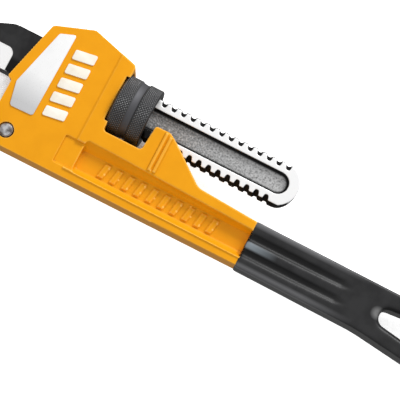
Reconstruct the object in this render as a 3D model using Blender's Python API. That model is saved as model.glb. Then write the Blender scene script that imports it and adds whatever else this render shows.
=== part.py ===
"""Straight-pattern pipe wrench of the 350 mm class, lying on its side.

The wrench is drawn in its own plane: X runs along the threaded shank towards the handle's end, Y runs
from the heel jaw's side towards the back of the hook jaw, and Z is up through the thickness. The drawing's
zero is on the shank's axis, level with the front edge of the adjusting nut's knurl, halfway through the
thickness. The empty "wrench" carries that drawing so that the world origin is under the middle of the
whole wrench, at the height of the surface that it lies on. Lengths are in millimetres until a mesh is made.
"""

import math

import bmesh
import bpy
from mathutils import Matrix, Vector

MM = 0.001
GAP = 0.3  # between pieces that touch

# Place of the drawing's zero in the world
DRAWING_ORIGIN = (-68.96, 14.72, 17.7)

# Casting: thickness of each level, from the middle plane to one side
RIM_HALF = 12.8
HEAD_HALF = 12.0
LAND_HALF = 12.6
PAD_HALF = 11.0
WEB_HALF = 6.8
MARK_HEIGHT = 0.7
TAIL_HALF = 9.6

# Thread that the shank and the nut share
PITCH = 6.0
CREST_R = 13.0
ROOT_R = 10.9
CREST_GROOVE = 3.4
ROOT_GROOVE = 1.8
FIRST_GROOVE = 102.3
GROOVES = 20
SHANK_HALF = 6.0
TIP_CENTRE = 101.2
TIP_REACH = 12.4

# Adjusting nut
NUT_LENGTH = 20.7
NUT_R = 17.7
NUT_WAIST_R = 16.3
NUT_NOSE = 2.2
NUT_NOSE_R = 13.9
NUT_SHOULDER_R = 17.3
THREAD_PLAY = 0.25

# Hook jaw
NECK_LOW = -13.6
NECK_HIGH = 13.0
NECK_HALF = 7.5
MILLED_HALF = 7.0
HOOK_FACE = -88.0
TOOTH_PITCH = 4.0
TOOTH_DEPTH = 1.7

# Housing window for the shank
WINDOW_LOW = -16.2
WINDOW_HIGH = 15.7
WINDOW_HALF = 8.1

# Heel jaw and its pin
HEEL_BACK = -57.5
HEEL_FACE = -80.0
HEEL_HALF = 9.0
HEEL_TOP = -17.5
HEEL_BOTTOM = -51.5
TONGUE_HALF = 5.0
TONGUE_END = -40.9
PIN_AT = (-46.5, -43.8)
PIN_R = 3.85

# Springs
COIL_AT = -28.0
COIL_R = 3.4
COIL_WIRE_R = 0.6
COIL_LOW = -25.7
COIL_HIGH = -15.8
COIL_TURNS = 5
RIVET_AT = -47.5
RIVET_R = 1.6

# Grip
GRIP_START = 101.6
GRIP_HALF = 13.0
SLOT_SMALL = (189.0, -41.0, 5.0)
SLOT_LARGE = (222.0, -42.0, 8.8)
SLOT_LINING = 2.4


def clear_scene():
    """Remove whatever the file holds."""
    for thing in list(bpy.data.objects):
        bpy.data.objects.remove(thing, do_unlink=True)


def paint(name, colour, roughness, metallic):
    """A plain material for one sub-part."""
    material = bpy.data.materials.new(name)
    material.use_nodes = True
    shader = material.node_tree.nodes["Principled BSDF"]
    shader.inputs["Base Color"].default_value = (*colour, 1.0)
    shader.inputs["Roughness"].default_value = roughness
    shader.inputs["Metallic"].default_value = metallic
    return material


def solid(name, points, faces):
    """A closed mesh object from points in millimetres, with its faces turned outwards."""
    mesh = bpy.data.meshes.new(name)
    mesh.from_pydata([Vector(p) * MM for p in points], [], faces)
    shape = bmesh.new()
    shape.from_mesh(mesh)
    bmesh.ops.recalc_face_normals(shape, faces=shape.faces)
    shape.to_mesh(mesh)
    shape.free()
    thing = bpy.data.objects.new(name, mesh)
    bpy.context.scene.collection.objects.link(thing)
    return thing


def arc(centre, radius, start, stop, steps):
    """Points along a circular arc, with angles in degrees."""
    angles = [math.radians(start + (stop - start) * i / steps) for i in range(steps + 1)]
    return [(centre[0] + radius * math.cos(a), centre[1] + radius * math.sin(a)) for a in angles]


def rounded(corners, step=22.5):
    """An outline from corners (x, y, radius), each rounded by its own radius."""
    outline = []
    for i, (x, y, radius) in enumerate(corners):
        here = Vector((x, y))
        if not radius:
            outline.append((x, y))
            continue
        before = (Vector(corners[i - 1][:2]) - here).normalized()
        after = (Vector(corners[(i + 1) % len(corners)][:2]) - here).normalized()
        half = before.angle(after) / 2
        reach = radius / math.tan(half)
        middle = here + (before + after).normalized() * (radius / math.sin(half))
        first = here + before * reach - middle
        last = here + after * reach - middle
        turn = first.angle_signed(last)
        steps = max(1, round(math.degrees(abs(turn)) / step))
        for k in range(steps + 1):
            spoke = first.copy()
            spoke.rotate(Matrix.Rotation(-turn * k / steps, 2))
            outline.append(tuple(middle + spoke))
    return outline


def prism(name, outline, low, high):
    """A flat outline given thickness from z = low to z = high."""
    count = len(outline)
    points = [(x, y, low) for x, y in outline] + [(x, y, high) for x, y in outline]
    faces = [tuple(range(count)), tuple(range(count, 2 * count))]
    faces += [(i, (i + 1) % count, (i + 1) % count + count, i + count) for i in range(count)]
    return solid(name, points, faces)


def box(name, low, high):
    """A block between two opposite corners."""
    outline = [(low[0], low[1]), (high[0], low[1]), (high[0], high[1]), (low[0], high[1])]
    return prism(name, outline, low[2], high[2])


def ringed(name, rings):
    """A solid through a list of rings of points, closed by a flat face at each end."""
    count = len(rings[0])
    points = [p for ring in rings for p in ring]
    faces = [tuple(range(count)), tuple(range(len(points) - count, len(points)))]
    for r in range(len(rings) - 1):
        for i in range(count):
            a, b = r * count + i, r * count + (i + 1) % count
            faces.append((a, b, b + count, a + count))
    return solid(name, points, faces)


def turned(name, profile, sides):
    """A solid of revolution about the shank's axis from a profile of (x, radius)."""
    angles = [2 * math.pi * k / sides for k in range(sides)]
    rings = [[(x, r * math.cos(a), r * math.sin(a)) for a in angles] for x, r in profile]
    return ringed(name, rings)


def round_bar(name, centre, radius, low, high, axis, sides=20, chamfer=0.0):
    """A round bar along Z or Y, with an optional chamfer on both ends."""
    levels = [(low, radius - chamfer), (low + chamfer, radius), (high - chamfer, radius), (high, radius - chamfer)]
    if not chamfer:
        levels = [levels[0], levels[3]]
    rings = []
    for level, r in levels:
        flat = arc(centre, r, 0, 360 - 360 / sides, sides - 1)
        rings.append([(a, b, level) if axis == "Z" else (a, level, b) for a, b in flat])
    return ringed(name, rings)


def thread_groove(name, middle, start, stop, steps, inner, outer):
    """A stretch of a right-hand thread's groove as a solid, from one turn angle to another in degrees.

    inner and outer are (radius, width) of the groove's floor and of its mouth.
    """
    rings = []
    for k in range(steps + 1):
        angle = math.radians(start + (stop - start) * k / steps)
        along = middle + PITCH * angle / (2 * math.pi)
        ring = []
        for radius, offset in (
            (inner[0], -inner[1] / 2),
            (inner[0], inner[1] / 2),
            (outer[0], outer[1] / 2),
            (outer[0], -outer[1] / 2),
        ):
            ring.append((along + offset, radius * math.cos(angle), radius * math.sin(angle)))
        rings.append(ring)
    return ringed(name, rings)


def joined(name, pieces):
    """One object out of several that stay separate bodies, for use as one cutter."""
    shape = bmesh.new()
    for piece in pieces:
        shape.from_mesh(piece.data)
        bpy.data.objects.remove(piece, do_unlink=True)
    mesh = bpy.data.meshes.new(name)
    shape.to_mesh(mesh)
    shape.free()
    thing = bpy.data.objects.new(name, mesh)
    bpy.context.scene.collection.objects.link(thing)
    return thing


def apply_modifier(thing, modifier):
    """Make a modifier part of the mesh."""
    bpy.context.view_layer.objects.active = thing
    with bpy.context.temp_override(object=thing, active_object=thing):
        bpy.ops.object.modifier_apply(modifier=modifier.name)


def combine(thing, operation, *tools):
    """Cut, add or intersect each tool, which is used up."""
    for tool in tools:
        modifier = thing.modifiers.new(operation.lower(), "BOOLEAN")
        modifier.operation = operation
        modifier.solver = "EXACT"
        modifier.object = tool
        apply_modifier(thing, modifier)
        bpy.data.objects.remove(tool, do_unlink=True)


def soften(thing, width, angle, segments=1):
    """Bevel the edges that are sharper than an angle in degrees."""
    modifier = thing.modifiers.new("bevel", "BEVEL")
    modifier.width = width * MM
    modifier.segments = segments
    modifier.limit_method = "ANGLE"
    modifier.angle_limit = math.radians(angle)
    apply_modifier(thing, modifier)


def both_sides(name, outline, low, high):
    """A prism on each side of the middle plane, as one cutter or addition."""
    return joined(name, [prism(name, outline, low, high), prism(name, outline, -high, -low)])


def drafted(name, floor, mouth, low, high):
    """Cutters on both sides that widen from one outline at low to another at high."""
    halves = []
    for side in (1, -1):
        rings = [[(x, y, side * low) for x, y in floor], [(x, y, side * high) for x, y in mouth]]
        halves.append(ringed(name, rings))
    return joined(name, halves)


def finish(thing, name, material, parent, sharp=35):
    """Name a finished piece, give it its material and shading, and hang it on its parent."""
    thing.name = name
    thing.data.name = name
    thing.data.materials.clear()
    thing.data.materials.append(material)
    thing.data.shade_smooth()
    thing.data.set_sharp_from_angle(angle=math.radians(sharp))
    thing.parent = parent
    return thing


def moved_origin(thing, point):
    """Put an object's origin at a point of the drawing and leave its shape where it is."""
    offset = Vector(point) * MM
    thing.data.transform(Matrix.Translation(-offset))
    thing.location = offset
    return thing


def seat_centre():
    """Where the nut's spherical nose has its centre on the shank's axis, and its radius."""
    centre = (NUT_SHOULDER_R**2 - NUT_NOSE_R**2 - NUT_NOSE**2) / (2 * NUT_NOSE)
    return centre, math.hypot(centre, NUT_SHOULDER_R)


def nose_profile(extra, steps):
    """The nut's spherical nose as (x, radius), from its front edge back, grown by extra."""
    centre, radius = seat_centre()
    first = math.asin(NUT_NOSE_R / radius)
    last = math.asin(NUT_SHOULDER_R / radius)
    angles = [first + (last - first) * i / steps for i in range(steps + 1)]
    grown = radius + extra
    return [(centre - grown * math.cos(a), grown * math.sin(a)) for a in angles]


def taper_slot(small, large, extra, steps=8):
    """Outline of a slot between a small and a large round end, each (x, y, radius)."""
    run = Vector(large[:2]) - Vector(small[:2])
    lean = math.degrees(math.atan2(run.y, run.x))
    wrap = math.degrees(math.asin((large[2] - small[2]) / run.length))
    front = arc(small, small[2] + extra, lean + 90 + wrap, lean + 270 - wrap, steps)
    back = arc(large, large[2] + extra, lean - 90 - wrap, lean + 90 + wrap, steps + 2)
    return front + back


def slanted_bars(first, pitch, count, low, high, width, lean):
    """Outlines of slanted raised bars in a row along X."""
    bars = []
    for i in range(count):
        x = first + pitch * i
        bars.append([(x, low), (x + width, low), (x + width + lean, high), (x + lean, high)])
    return bars


def casting_outline():
    """Side view of the housing and of the handle's painted stretch."""
    return rounded(
        [
            (HEEL_BACK + GAP, -51.9, 2.0),
            (-53.5, -53.3, 3.0),
            (GRIP_START - 0.6, -52.8, 0),
            (GRIP_START - 0.6, -26.0, 0),
            (63.3, -23.9, 8.0),
            (41.5, -7.3, 6.0),
            (35.7, -3.7, 3.0),
            (26.6, -3.8, 1.5),
            (25.7, -20.3, 2.0),
            (1.6, -20.5, 2.0),
            (1.4, 21.4, 2.5),
            (-28.1, 29.5, 3.5),
            (-50.8, 21.1, 2.5),
            (-60.2, -16.4, 1.5),
            (HEEL_BACK + GAP, -17.1, 0),
        ]
    )


def channel_outline(low, front_high, back_high):
    """Outline of the I-beam's channel at one level, from its front end to the grip."""
    end = GRIP_START - 3.0
    return rounded([(-3.8, low, 2.0), (end, low, 2.0), (end, back_high, 2.0), (-3.8, front_high, 2.0)])


def tail_outline(extra):
    """Side view of the bar inside the grip, grown by extra."""
    return rounded(
        [
            (GRIP_START - 4.0, -51.2 - extra, 0),
            (176.0, -51.7 - extra, 60.0),
            (215.0, -56.4 - extra, 14.0),
            (239.0 + extra, -52.0, 10.0),
            (239.0 + extra, -33.0, 10.0),
            (222.0, -28.5 + extra, 12.0),
            (GRIP_START - 4.0, -28.0 + extra, 0),
        ]
    )


def grip_outline():
    """Side view of the dipped grip."""
    return rounded(
        [
            (GRIP_START, -53.6, 0),
            (176.0, -54.3, 60.0),
            (216.0, -59.0, 16.0),
            (244.0, -55.0, 13.0),
            (244.0, -31.0, 13.0),
            (224.0, -26.2, 14.0),
            (GRIP_START, -25.7, 0),
        ]
    )


def hook_outline():
    """Side view of the hook and its neck, without teeth."""
    low_tip = -53.0
    return rounded(
        [
            (-12.0, NECK_LOW, 0),
            (-12.0, NECK_HIGH, 0),
            (-70.5, NECK_HIGH, 12.0),
            (-97.0, 1.8, 24.0),
            (-108.0, -24.0, 40.0),
            (-104.0, -48.0, 10.0),
            (-93.0, low_tip - 1.5, 4.0),
            (HOOK_FACE, low_tip, 1.5),
            (HOOK_FACE, NECK_LOW, 5.0),
        ]
    )


def make_casting(material, parent):
    """Housing and I-beam handle, one casting, with the bar that the grip covers."""
    casting = prism("handle_casting", casting_outline(), -RIM_HALF, RIM_HALF)
    deep = RIM_HALF + 5.0

    tail = prism("tail", tail_outline(0), -TAIL_HALF, TAIL_HALF)
    combine(tail, "DIFFERENCE", prism("slot", taper_slot(SLOT_SMALL, SLOT_LARGE, SLOT_LINING), -deep, deep))
    combine(casting, "UNION", tail)

    head_step = [(-70, -60), (-8.7, -60), (-8.7, 40), (-70, 40)]
    low_flange = [(-8.9, -60), (GRIP_START + 2, -60), (GRIP_START + 2, -48.6), (-8.9, -48.6)]
    pad = rounded([(-15.6, -47.4, 1.0), (-3.0, -47.4, 0), (-3.0, -30.9, 0), (-15.6, -30.9, 1.0)])
    channel = channel_outline(-48.0, -34.0, -33.6), channel_outline(-48.3, -27.7, -31.0)
    combine(casting, "DIFFERENCE", both_sides("head_step", head_step, HEAD_HALF, deep))
    combine(casting, "DIFFERENCE", both_sides("low_flange", low_flange, HEAD_HALF, deep))
    combine(casting, "DIFFERENCE", both_sides("pad", pad, PAD_HALF, deep))
    combine(casting, "DIFFERENCE", drafted("channel", *channel, WEB_HALF, RIM_HALF + 0.5))

    land = rounded(
        [(-51.2, -30.6, 1.5), (-37.0, -30.2, 1.5), (-36.2, 21.8, 1.5), (-45.3, 18.3, 1.5), (-54.2, -16.7, 1.0)]
    )
    combine(casting, "UNION", both_sides("land", land, HEAD_HALF - 1.0, LAND_HALF))
    for x in (32.0, 34.6):
        rib = rounded([(x, -25.0, 0.7), (x + 1.6, -25.0, 0.7), (x + 1.6, -5.0, 0.7), (x, -5.0, 0.7)])
        combine(casting, "UNION", both_sides("rib", rib, RIM_HALF - 1.0, RIM_HALF + MARK_HEIGHT))

    web_marks = slanted_bars(9.8, 7.5, 10, -43.3, -35.0, 3.2, 1.6)
    face_marks = []
    for i in range(5):
        y = -27.2 + 8.9 * i
        face_marks.append([(-32.9, y), (-20.0, y + 2.0), (-20.0, y + 8.0), (-32.9, y + 6.0)])
    marks = [both_sides("mark", bar, WEB_HALF - 1.0, WEB_HALF + MARK_HEIGHT) for bar in web_marks]
    marks += [both_sides("mark", bar, HEAD_HALF - 1.0, HEAD_HALF + MARK_HEIGHT) for bar in face_marks]
    combine(casting, "UNION", joined("marks", marks))

    window = box("window", (-70, WINDOW_LOW, -WINDOW_HALF), (4, WINDOW_HIGH, WINDOW_HALF))
    fork = box("fork", (22, -15.0, -SHANK_HALF - 0.9), (66, 4, SHANK_HALF + 0.9))
    room = NUT_R + 0.9
    relief = turned("relief", [*nose_profile(GAP, 6), (0.0, room), (23.0, room)], 48)
    combine(casting, "DIFFERENCE", window, fork, relief)

    leaf_floor = box("leaf_floor", (-55.5, -19.4, -5.2), (-10.5, WINDOW_LOW + 1, 5.2))
    coil_pocket = round_bar("coil_pocket", (COIL_AT, 0), COIL_R + COIL_WIRE_R + 0.6, -26.6, -18.0, "Y")
    rivet_hole = round_bar("rivet_hole", (RIVET_AT, 0), RIVET_R + GAP, -25.0, -18.0, "Y", 16)
    slot_half = TONGUE_HALF + GAP
    tongue_slot = box("tongue_slot", (-66, -50.8, -slot_half), (TONGUE_END + GAP, -36.7, slot_half))
    pin_hole = round_bar("pin_hole", PIN_AT, PIN_R + GAP, -deep, deep, "Z", 24)
    combine(casting, "DIFFERENCE", leaf_floor, coil_pocket, rivet_hole, tongue_slot, pin_hole)
    return finish(casting, "handle_casting", material, parent)


def make_grip(material, parent):
    """Dipped vinyl sleeve over the handle's tail, with flutes and a lined hanging slot."""
    grip = prism("grip_sleeve", grip_outline(), -GRIP_HALF, GRIP_HALF)
    soften(grip, 3.4, 60, 2)
    cavity = prism("cavity", tail_outline(GAP), -TAIL_HALF - GAP, TAIL_HALF + GAP)
    kept = prism("kept", taper_slot(SLOT_SMALL, SLOT_LARGE, SLOT_LINING - GAP), -20, 20)
    combine(cavity, "DIFFERENCE", kept)
    slot = prism("slot", taper_slot(SLOT_SMALL, SLOT_LARGE, 0), -20, 20)
    combine(grip, "DIFFERENCE", cavity, slot)
    for y in (-38.0, -46.9):
        flute = rounded([(103.4, y - 1.8, 1.7), (170.0, y - 1.8, 1.7), (170.0, y + 1.8, 1.7), (103.4, y + 1.8, 1.7)])
        combine(grip, "DIFFERENCE", both_sides("flute", flute, GRIP_HALF - 1.2, GRIP_HALF + 5))
    return finish(grip, "grip_sleeve", material, parent)


def toothed(name, face, low, high, half, towards):
    """Cutter that leaves a row of teeth on a face, with the tips at x = face."""
    count = int((high - low) / TOOTH_PITCH)
    outline = []
    for i in range(count):
        y = low + i * TOOTH_PITCH
        outline += [(face + towards * TOOTH_DEPTH, y), (face, y + TOOTH_PITCH * 0.75)]
    outline += [(face + towards * TOOTH_DEPTH, low + count * TOOTH_PITCH)]
    back = face - towards * 3.0
    outline += [(back, low + count * TOOTH_PITCH), (back, low)]
    return prism(name, outline, -half, half)


def make_heel_jaw(material, parent):
    """Hardened toothed insert with the tongue that its pin goes through."""
    body = rounded(
        [
            (HEEL_FACE, HEEL_BOTTOM, 1.0),
            (HEEL_BACK, HEEL_BOTTOM, 0),
            (HEEL_BACK, HEEL_TOP, 0),
            (HEEL_FACE, HEEL_TOP, 2.0),
        ]
    )
    heel = prism("heel_jaw", body, -HEEL_HALF, HEEL_HALF)
    tongue = box("tongue", (HEEL_BACK - 5, -50.5, -TONGUE_HALF), (TONGUE_END, -37.0, TONGUE_HALF))
    combine(heel, "UNION", tongue)
    combine(heel, "DIFFERENCE", round_bar("hole", PIN_AT, PIN_R + GAP, -20, 20, "Z", 24))
    combine(heel, "DIFFERENCE", toothed("teeth", HEEL_FACE, HEEL_BOTTOM + 0.5, -19.0, 20, 1))
    return finish(heel, "heel_jaw", material, parent, 25)


def make_heel_pin(material, parent):
    """Chamfered pin across the head that keeps the heel jaw."""
    pin = round_bar("pin", PIN_AT, PIN_R, -HEAD_HALF - 0.4, HEAD_HALF + 0.4, "Z", 24, 0.7)
    return finish(pin, "heel_jaw_pin", material, parent)


def make_hook_jaw(material, parent):
    """Forged hook and neck with the flat shank, whose two narrow edges carry the thread."""
    jaw = prism("hook_jaw", hook_outline(), -NECK_HALF, NECK_HALF)
    milled = rounded([(-67.0, -60, 0), (-67.0, -0.1, 5.0), (-120, -0.1, 0), (-120, -60, 0)])
    combine(jaw, "DIFFERENCE", both_sides("milled", milled, MILLED_HALF, NECK_HALF + 3))
    combine(jaw, "DIFFERENCE", toothed("teeth", HOOK_FACE, -52.0, -19.0, 20, -1))

    blank = turned("shank", [(-13.5, CREST_R), (TIP_CENTRE + CREST_R + 1, CREST_R)], 32)
    wide = CREST_R + 0.05
    plan = [(-14.0, wide), (-14.0, -wide)]
    plan += [(TIP_CENTRE + TIP_REACH * x, wide * y) for x, y in arc((0, 0), 1, -90, 90, 16)]
    combine(blank, "INTERSECT", prism("plan", plan, -SHANK_HALF, SHANK_HALF))
    floor, mouth = (ROOT_R, ROOT_GROOVE), (CREST_R + 0.7, CREST_GROOVE + 0.48)
    cuts = []
    for k in range(GROOVES - 1):
        middle = FIRST_GROOVE - PITCH * k
        cuts.append(thread_groove("groove", middle, -42, 42, 4, floor, mouth))
        cuts.append(thread_groove("groove", middle - PITCH, 138, 222, 4, floor, mouth))
    combine(blank, "DIFFERENCE", joined("grooves", cuts))
    web = [(-11.0, -6.2), *arc((TIP_CENTRE, 0), 6.2, -90, 90, 10), (-11.0, 6.2)]
    combine(blank, "DIFFERENCE", both_sides("web", web, SHANK_HALF - 3.2, SHANK_HALF + 3))
    combine(jaw, "UNION", blank)
    return finish(jaw, "hook_jaw", material, parent, 25)


def make_nut(material, parent):
    """Adjusting nut with two grip bands, a waist, a spherical nose and an internal thread."""
    edge = 0.8
    profile = nose_profile(0, 5)
    profile += [(edge, NUT_R), (7.3, NUT_R), (8.1, NUT_WAIST_R), (13.0, NUT_WAIST_R), (13.8, NUT_R)]
    profile += [(NUT_LENGTH - edge, NUT_R), (NUT_LENGTH, NUT_R - edge)]
    nut = turned("adjusting_nut", profile, 36)
    minor, major = ROOT_R + 0.35, CREST_R + 0.35
    combine(nut, "DIFFERENCE", turned("bore", [(-12.0, minor), (32.0, minor)], 36))

    def tooth_width(radius):
        """Width of the shank's tooth at a radius, with the play on both flanks."""
        share = (CREST_R - radius) / (CREST_R - ROOT_R)
        return PITCH - CREST_GROOVE + share * (CREST_GROOVE - ROOT_GROOVE) + 2 * THREAD_PLAY

    middle = FIRST_GROOVE - PITCH * 17.5
    turns = (-3, 5)
    floor = (minor - 0.5, tooth_width(minor - 0.5))
    mouth = (major, tooth_width(major))
    thread = thread_groove("thread", middle, 360 * turns[0], 360 * turns[1], 24 * (turns[1] - turns[0]), floor, mouth)
    combine(nut, "DIFFERENCE", thread)
    return finish(nut, "adjusting_nut", material, parent)


def make_flat_spring(material, parent):
    """Leaf that the shank slides on, arched up from its riveted foot."""
    thickness, half = 0.9, 4.6
    line = [(-54.0, -19.1), (-43.0, -19.1), (-39.0, -17.6), (-34.0, -15.3), (-30.0, -14.9), (-24.0, -14.9)]
    line += [(-19.0, -15.6), (-13.0, -17.4)]
    outline = line + [(x, y + thickness) for x, y in reversed(line)]
    leaf = prism("flat_spring", outline, -half, half)
    combine(leaf, "DIFFERENCE", round_bar("hole", (RIVET_AT, 0), RIVET_R + GAP, -21, -16, "Y", 16))
    return finish(leaf, "flat_spring", material, parent)


def make_rivet(material, parent):
    """Round-headed rivet through the foot of the flat spring."""
    levels = [(-24.5, RIVET_R), (-17.9, RIVET_R), (-17.9, 2.9), (-17.3, 2.7), (-16.8, 1.7)]
    rings = []
    for y, r in levels:
        rings.append([(a, y, b) for a, b in arc((RIVET_AT, 0), r, 0, 337.5, 15)])
    return finish(ringed("rivet", rings), "spring_rivet", material, parent)


def make_coil_spring(material, parent):
    """Compression spring between the bottom of its pocket and the leaf."""
    steps, sides = 16, 6
    rings = []
    for k in range(COIL_TURNS * steps + 1):
        turn = 2 * math.pi * k / steps
        rise = COIL_LOW + (COIL_HIGH - COIL_LOW) * k / (COIL_TURNS * steps)
        ring = []
        for s in range(sides):
            around = 2 * math.pi * s / sides
            reach = COIL_R + COIL_WIRE_R * math.cos(around)
            height = rise + COIL_WIRE_R * math.sin(around)
            ring.append((COIL_AT + reach * math.cos(turn), height, reach * math.sin(turn)))
        rings.append(ring)
    return finish(ringed("coil", rings), "coil_spring", material, parent)


def main():
    """Build every piece and hang it on the drawing or on the rocking seat."""
    clear_scene()
    wrench = bpy.data.objects.new("wrench", None)
    wrench.location = Vector(DRAWING_ORIGIN) * MM
    rocking_seat = bpy.data.objects.new("rocking_seat", None)
    rocking_seat.location = (seat_centre()[0] * MM, 0, 0)
    rocking_seat.parent = wrench
    for empty in (wrench, rocking_seat):
        bpy.context.scene.collection.objects.link(empty)

    orange = paint("painted_casting", (0.85, 0.36, 0.01), 0.38, 0.0)
    vinyl = paint("black_vinyl", (0.05, 0.05, 0.052), 0.5, 0.0)
    forged = paint("black_forging", (0.09, 0.09, 0.09), 0.45, 0.8)
    bright = paint("ground_steel", (0.8, 0.8, 0.8), 0.25, 1.0)
    oxide = paint("black_oxide", (0.12, 0.12, 0.12), 0.4, 0.9)
    spring = paint("spring_steel", (0.35, 0.35, 0.37), 0.35, 1.0)

    make_casting(orange, wrench)
    make_grip(vinyl, wrench)
    make_heel_jaw(bright, wrench)
    make_heel_pin(bright, wrench)
    make_rivet(spring, wrench)
    rocking = [
        make_flat_spring(spring, rocking_seat),
        make_coil_spring(spring, rocking_seat),
        make_hook_jaw(forged, rocking_seat),
        make_nut(oxide, rocking_seat),
    ]
    for piece in rocking:
        moved_origin(piece, (seat_centre()[0], 0, 0))
        piece.location = (0, 0, 0)


main()
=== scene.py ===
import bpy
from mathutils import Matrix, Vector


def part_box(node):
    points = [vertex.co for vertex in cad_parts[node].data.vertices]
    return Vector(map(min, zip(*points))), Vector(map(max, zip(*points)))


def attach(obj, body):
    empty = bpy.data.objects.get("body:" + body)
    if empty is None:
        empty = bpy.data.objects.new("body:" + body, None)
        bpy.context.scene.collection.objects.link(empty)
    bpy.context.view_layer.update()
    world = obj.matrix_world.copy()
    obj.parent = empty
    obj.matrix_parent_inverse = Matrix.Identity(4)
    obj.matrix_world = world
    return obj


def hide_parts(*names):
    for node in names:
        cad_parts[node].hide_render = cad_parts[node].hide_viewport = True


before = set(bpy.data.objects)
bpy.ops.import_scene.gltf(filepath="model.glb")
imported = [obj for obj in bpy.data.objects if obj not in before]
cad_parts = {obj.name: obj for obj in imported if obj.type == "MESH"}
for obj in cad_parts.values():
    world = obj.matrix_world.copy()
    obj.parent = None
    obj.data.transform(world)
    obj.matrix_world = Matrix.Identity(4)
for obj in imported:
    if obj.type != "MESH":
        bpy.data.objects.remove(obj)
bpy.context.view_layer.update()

"""Finished scene of a straight-pattern pipe wrench lying on its side.

Every outline is drawn in millimetres in the wrench's own plane: X runs along the threaded shank towards the
handle's end, Y from the heel jaw's side towards the back of the hook jaw, and Z up through the thickness.
The drawing's zero is on the shank's axis, level with the front edge of the adjusting nut's knurl.
"""

import logging
import math
from dataclasses import dataclass
from enum import Enum
from typing import Any, Iterable, Sequence

import bmesh
import bpy
from mathutils import Matrix, Vector

MM = 0.001
LOG = logging.getLogger("pipe_wrench")

Flat = tuple[float, float]
Triple = tuple[float, float, float]
Ring = list[tuple[float, float, float]]
Socket = bpy.types.NodeSocket
Tree = bpy.types.NodeTree


class Body(Enum):
    """The bodies of the wrench that a piece can ride on."""

    HANDLE = "handle"
    SEAT = "rocking_seat"
    NUT = "nut"
    HOOK = "hook"


class Slot(Enum):
    """The material slots of the wrench."""

    CASTING = "painted_casting"
    GRIP = "black_vinyl"
    FORGING = "black_forging"
    GROUND = "ground_steel"
    OXIDE = "black_oxide"
    SPRING = "spring_steel"


@dataclass(frozen=True)
class Drawing:
    """Where the drawing's zero lies in the world, and how a drawn point becomes a world point."""

    nut_length: float = 20.7

    @property
    def origin(self) -> Vector:
        """The drawing's zero, found from the nut, whose axis is the shank's."""
        low, high = (Vector(corner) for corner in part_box("adjusting_nut"))
        middle = (low + high) / 2
        return Vector((high.x - self.nut_length * MM, middle.y, middle.z))

    def point(self, x: float, y: float, z: float) -> Vector:
        """A drawn point in millimetres as a world point in metres."""
        return self.origin + Vector((x, y, z)) * MM


DRAWING = Drawing()
ORIGIN = DRAWING.origin


# ---------------------------------------------------------------- outlines


def arc(centre: Flat, radius: float, start: float, stop: float, steps: int) -> list[Flat]:
    """Points along a circular arc.

    Args:
        centre: Middle of the circle.
        radius: Its radius.
        start: First angle in degrees.
        stop: Last angle in degrees.
        steps: Number of chords.

    Returns:
        The points from start to stop.
    """
    angles = [math.radians(start + (stop - start) * i / steps) for i in range(steps + 1)]
    return [(centre[0] + radius * math.cos(a), centre[1] + radius * math.sin(a)) for a in angles]


def rounded(corners: Sequence[tuple[float, float, float]], step: float = 10.0) -> list[Flat]:
    """An outline whose corners are rounded by arcs.

    Args:
        corners: Each corner's x, y and radius.
        step: Turn of one chord in degrees.

    Returns:
        The outline's points in the corners' order.
    """
    outline: list[Flat] = []
    for i, (x, y, radius) in enumerate(corners):
        here = Vector((x, y))
        if not radius:
            outline.append((x, y))
            continue
        before = (Vector(corners[i - 1][:2]) - here).normalized()
        after = (Vector(corners[(i + 1) % len(corners)][:2]) - here).normalized()
        half = before.angle(after) / 2
        middle = here + (before + after).normalized() * (radius / math.sin(half))
        first = here + before * (radius / math.tan(half)) - middle
        last = here + after * (radius / math.tan(half)) - middle
        start = math.degrees(math.atan2(first.y, first.x))
        turn = -math.degrees(first.angle_signed(last))
        outline += arc((middle.x, middle.y), radius, start, start + turn, max(1, round(abs(turn) / step)))
    return outline


def taper_slot(small: Triple, large: Triple, extra: float) -> list[Flat]:
    """Outline of a slot between a small and a large round end.

    Args:
        small: Centre and radius of the small end.
        large: Centre and radius of the large end.
        extra: How much both ends are grown.

    Returns:
        The closed outline.
    """
    run = Vector(large[:2]) - Vector(small[:2])
    lean = math.degrees(math.atan2(run.y, run.x))
    wrap = math.degrees(math.asin((large[2] - small[2]) / run.length))
    front = arc(small[:2], small[2] + extra, lean + 90 + wrap, lean + 270 - wrap, 18)
    back = arc(large[:2], large[2] + extra, lean - 90 - wrap, lean + 90 + wrap, 22)
    return front + back


# ---------------------------------------------------------------- modelling


def deselect() -> None:
    """Leave nothing selected and nothing in edit mode."""
    if bpy.context.object and bpy.context.object.mode != "OBJECT":
        bpy.ops.object.mode_set(mode="OBJECT")
    bpy.ops.object.select_all(action="DESELECT")


def swept(name: str, rings: Sequence[Ring]) -> bpy.types.Object:
    """A solid drawn from one ring of points to the next by extrusion.

    Args:
        name: Name of the piece.
        rings: Rings of drawn points with as many points each, in the same order.

    Returns:
        The closed solid, with its origin at the world's.
    """
    deselect()
    bpy.ops.mesh.primitive_circle_add(vertices=len(rings[0]), radius=MM, fill_type="NGON")
    thing = bpy.context.object
    thing.name = name
    last = [ORIGIN + Vector(p) * MM for p in rings[0]]
    for vertex, place in zip(thing.data.vertices, last):
        vertex.co = place
    bpy.ops.object.mode_set(mode="EDIT")
    bpy.ops.mesh.select_all(action="SELECT")
    for ring in rings[1:]:
        bpy.ops.mesh.extrude_region_move()
        shape = bmesh.from_edit_mesh(thing.data)
        following = [ORIGIN + Vector(p) * MM for p in ring]
        for vertex in [v for v in shape.verts if v.select]:
            nearest = min(range(len(last)), key=lambda i: (last[i] - vertex.co).length_squared)
            vertex.co = following[nearest]
        bmesh.update_edit_mesh(thing.data)
        last = following
    bpy.ops.mesh.select_all(action="SELECT")
    bpy.ops.mesh.normals_make_consistent(inside=False)
    bpy.ops.object.mode_set(mode="OBJECT")
    return thing


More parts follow.
